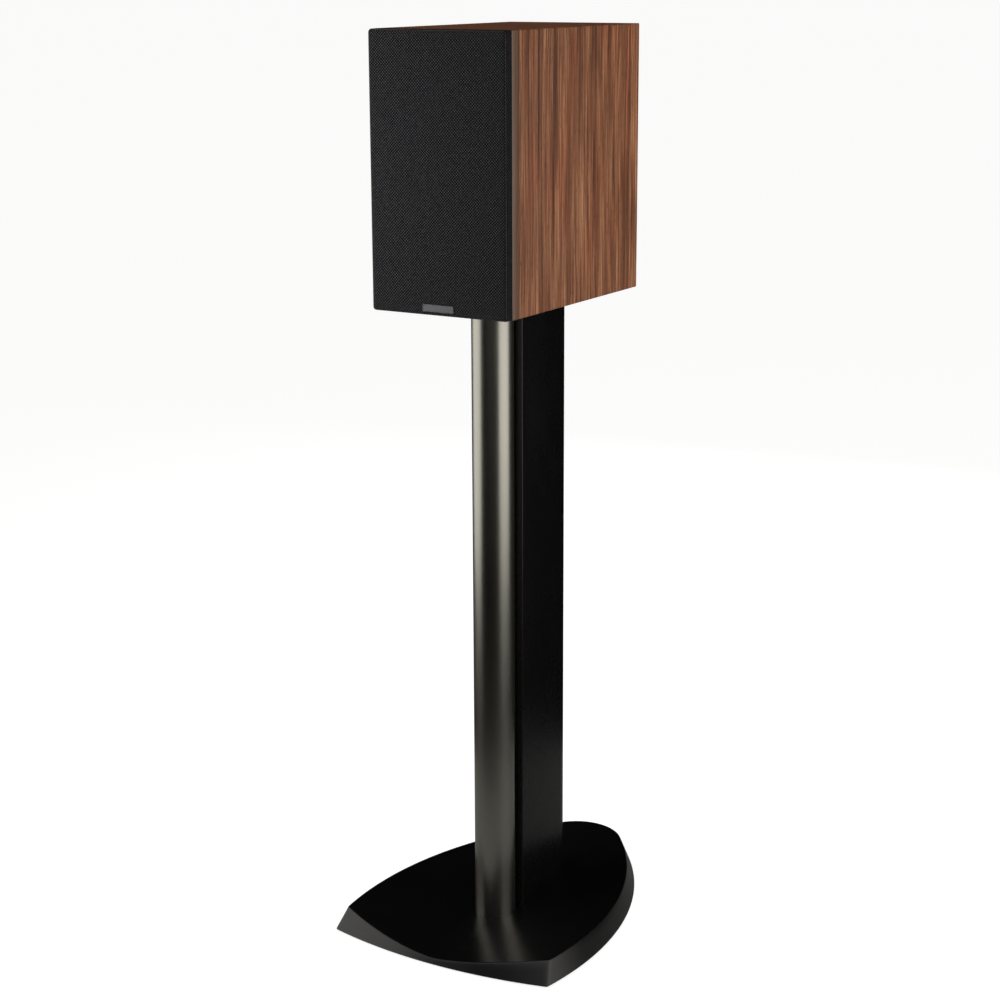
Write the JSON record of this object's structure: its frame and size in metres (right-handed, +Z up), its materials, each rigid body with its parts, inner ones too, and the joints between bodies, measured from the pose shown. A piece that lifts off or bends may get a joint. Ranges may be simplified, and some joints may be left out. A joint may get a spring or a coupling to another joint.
{
  "type": "bookshelf speaker on floor stand",
  "caption": "Compact two-way speaker in walnut veneer with a pull-off black cloth grille, bolted to a pedestal stand: round aluminium tube, black column, dished shield-shaped foot.",
  "frame": {"origin": "on the floor, at the centre of the whole object's footprint", "axes": "+Z up, the grille faces -Y, +X runs along the width"},
  "size_m": [0.308, 0.4142, 1.052],
  "materials": {
    "wadding": "loose polyester wadding",
    "dark_plastic": "moulded, black",
    "walnut_veneer": "satin lacquered veneer",
    "circuit_board": "solder resist",
    "capacitor_film": "dipped film",
    "coil_copper": "enamelled copper",
    "resistor_ceramic": "ceramic",
    "black_plastic": "moulded, matt",
    "baffle_lacquer": "matt lacquer on fibreboard, plain edges",
    "tube_anodised": "satin anodised, warm grey",
    "grille_cloth": "woven acoustic cloth",
    "plate_finish": "brushed",
    "pad_rubber": "soft rubber",
    "column_powder": "satin black powder coat",
    "black_laminate": "textured black laminate",
    "red_plastic": "moulded, clear red",
    "screw_black": "black zinc",
    "foot_black": "satin black lacquer on casting",
    "gold_brass": "gold plated",
    "zinc_steel": "zinc plated",
    "dome_finish": "satin anodised",
    "ferrite": "sintered ferrite",
    "surround_rubber": "moulded rubber",
    "raw_fibreboard": "raw fibreboard",
    "basket_paint": "powder coated",
    "cone_finish": "satin anodised",
    "spider_cloth": "resin dipped cotton"
  },
  "bodies": {
    "root": {"acoustic_wadding": "wadding", "bottom_panel": "walnut_veneer", "crossover_board": "circuit_board", "crossover_capacitors": "capacitor_film", "crossover_coils": "coil_copper", "crossover_resistors": "resistor_ceramic", "crossover_standoffs": "black_plastic", "front_baffle": "baffle_lacquer", "front_tube": "tube_anodised", "isolation_pads": "pad_rubber", "left_side_panel": "walnut_veneer", "peg_sockets": "pad_rubber", "rear_column": "column_powder", "rear_panel": "black_laminate", "reflex_port": "black_plastic", "right_side_panel": "walnut_veneer", "speaker_bolts": "screw_black", "stand_foot": "foot_black", "stand_top_plate": "column_powder", "terminal_cup": "black_plastic", "terminal_cup_screws": "screw_black", "terminal_nuts": "gold_brass", "terminal_posts": "gold_brass", "tie_rod_nuts": "zinc_steel", "tie_rods": "zinc_steel", "top_panel": "walnut_veneer", "tweeter_faceplate": "black_plastic", "tweeter_front_plate": "zinc_steel", "tweeter_magnet": "ferrite", "tweeter_rear_cup": "black_plastic", "tweeter_screws": "screw_black", "tweeter_yoke": "zinc_steel", "window_brace": "raw_fibreboard", "woofer_basket": "basket_paint", "woofer_magnet": "ferrite", "woofer_screws": "screw_black", "woofer_top_plate": "zinc_steel", "woofer_yoke": "zinc_steel"},
    "grille": {"grille_frame": "black_plastic", "grille_cloth": "grille_cloth", "grille_pegs": "black_plastic", "grille_plate": "plate_finish"},
    "woofer_motor": {"woofer_cone": "cone_finish", "woofer_dust_cap": "cone_finish", "woofer_voice_coil": "coil_copper", "woofer_spider": "spider_cloth", "woofer_surround": "surround_rubber"},
    "tweeter_motor": {"tweeter_dome": "dome_finish", "tweeter_voice_coil": "coil_copper", "tweeter_surround": "surround_rubber"},
    "red_washer": {"red_terminal_washer": "red_plastic"},
    "red_knob": {"red_terminal_knob": "red_plastic"},
    "black_washer": {"black_terminal_washer": "dark_plastic"},
    "black_knob": {"black_terminal_knob": "dark_plastic"},
    "foot_front_left": {"levelling_foot_front_left": "pad_rubber"},
    "foot_front_right": {"levelling_foot_front_right": "pad_rubber"},
    "foot_rear_left": {"levelling_foot_rear_left": "pad_rubber"},
    "foot_rear_right": {"levelling_foot_rear_right": "pad_rubber"}
  },
  "joints": [
    {"name": "grille_pull", "type": "slide", "parent": "root", "child": "grille", "axis": [0, -1, 0], "range_m": [0, 0.03]},
    {"name": "woofer_stroke", "type": "slide", "parent": "root", "child": "woofer_motor", "axis": [0, -1, 0], "range_m": [-0.004, 0.004], "stiffness_N_per_m": 1200, "deforming": ["woofer_surround", "woofer_spider"]},
    {"name": "tweeter_stroke", "type": "slide", "parent": "root", "child": "tweeter_motor", "axis": [0, -1, 0], "range_m": [-0.0003, 0.0003], "stiffness_N_per_m": 900, "deforming": ["tweeter_surround"]},
    {"name": "red_washer_slide", "type": "slide", "parent": "root", "child": "red_washer", "axis": [0, 1, 0], "range_m": [0, 0.005]},
    {"name": "red_knob_turn", "type": "hinge", "parent": "red_washer", "child": "red_knob", "pos_m": [0.0095, 0.115, 0.835], "axis": [0, 1, 0], "range_deg": [0, 1800]},
    {"name": "black_washer_slide", "type": "slide", "parent": "root", "child": "black_washer", "axis": [0, 1, 0], "range_m": [0, 0.005]},
    {"name": "black_knob_turn", "type": "hinge", "parent": "black_washer", "child": "black_knob", "pos_m": [-0.0095, 0.115, 0.835], "axis": [0, 1, 0], "range_deg": [0, 1800]},
    {"name": "foot_front_left_height", "type": "slide", "parent": "root", "child": "foot_front_left", "axis": [0, 0, -1], "range_m": [0, 0.006]},
    {"name": "foot_front_right_height", "type": "slide", "parent": "root", "child": "foot_front_right", "axis": [0, 0, -1], "range_m": [0, 0.006]},
    {"name": "foot_rear_left_height", "type": "slide", "parent": "root", "child": "foot_rear_left", "axis": [0, 0, -1], "range_m": [0, 0.006]},
    {"name": "foot_rear_right_height", "type": "slide", "parent": "root", "child": "foot_rear_right", "axis": [0, 0, -1], "range_m": [0, 0.006]}
  ],
  "couplings": [
    {"joint": "red_knob_turn", "follows": "red_washer_slide", "rad_per_m": 6283.2},
    {"joint": "black_knob_turn", "follows": "black_washer_slide", "rad_per_m": 6283.2}
  ]
}
